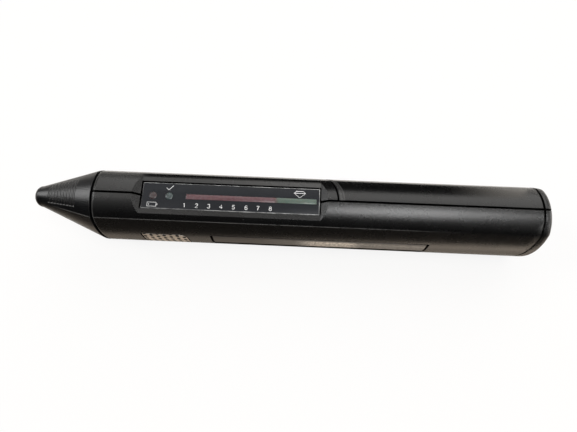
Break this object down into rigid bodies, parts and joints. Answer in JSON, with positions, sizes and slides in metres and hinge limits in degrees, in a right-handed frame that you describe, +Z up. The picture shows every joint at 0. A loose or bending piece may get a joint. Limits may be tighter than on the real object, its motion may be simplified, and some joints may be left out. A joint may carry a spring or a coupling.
{
  "type": "diamond tester",
  "caption": "Pocket diamond tester: pen-shaped split housing with a light-bar display, a spring-loaded heated probe under a pull-off cap, a side touch plate and a sliding battery cover.",
  "frame": {"origin": "on the resting surface, below the middle of the overall length, in the parting plane of the two shells", "axes": "+X from the cap nose to the rear end, +Y to the side of the battery cover, +Z up out of the display"},
  "size_m": [0.1502, 0.0204, 0.026],
  "materials": {
    "housing": "fine satin moulded texture",
    "cap": "soft satin",
    "nose": "satin",
    "tip": "polished copper",
    "heater": "fired ceramic",
    "spring_wire": "nickel plated",
    "brass_parts": "turned",
    "red_leads": "insulated wire",
    "window": "smoked, semi gloss",
    "red_bar": "translucent, unlit",
    "green_bar": "translucent, unlit",
    "lamp_chips": "moulded",
    "ready_lens": "translucent, unlit",
    "low_lens": "translucent, unlit",
    "board": "solder mask",
    "chips": "moulded",
    "touch_metal": "dimpled, satin",
    "name_blank": "plain, satin",
    "switch_metal": "pressed",
    "knob": "ribbed",
    "cell_wrap": "plain wrap",
    "black_leads": "insulated wire",
    "socket": "moulded",
    "screw_steel": "zinc plated"
  },
  "bodies": {
    "housing": {"near_shell": "housing", "far_shell": "housing", "probe_nose": "nose", "probe_spring": "spring_wire", "probe_plug": "brass_parts", "probe_leads": "red_leads", "display_window": "window", "light_bar_red": "red_bar", "light_bar_green": "green_bar", "bar_lamps": "lamp_chips", "ready_lamp": "ready_lens", "low_battery_lamp": "low_lens", "main_board": "board", "control_chip": "chips", "amplifier_chip": "chips", "buzzer": "chips", "touch_plate": "touch_metal", "touch_contact": "brass_parts", "name_plate": "name_blank", "switch_case": "switch_metal", "cell_upper": "cell_wrap", "cell_lower": "cell_wrap", "cell_springs": "spring_wire", "front_contacts": "spring_wire", "link_contact": "spring_wire", "battery_leads": "black_leads", "power_socket": "socket", "socket_lead": "black_leads", "case_screws": "screw_steel"},
    "cap": {"probe_cap": "cap"},
    "probe": {"probe_tip": "tip", "probe_heater": "heater"},
    "cover": {"battery_cover": "housing"},
    "switch": {"switch_knob": "knob"}
  },
  "joints": [
    {"name": "cap_pull", "type": "slide", "parent": "housing", "child": "cap", "axis": [-1, 0, 0], "range_m": [0, 0.022]},
    {"name": "probe_press", "type": "slide", "parent": "housing", "child": "probe", "axis": [1, 0, 0], "range_m": [0, 0.0012], "stiffness_N_per_m": 500, "deforming": ["probe_spring"]},
    {"name": "cover_slide", "type": "slide", "parent": "housing", "child": "cover", "axis": [1, 0, 0], "range_m": [0, 0.066]},
    {"name": "switch_slide", "type": "slide", "parent": "housing", "child": "switch", "axis": [-1, 0, 0], "range_m": [0, 0.003]}
  ]
}
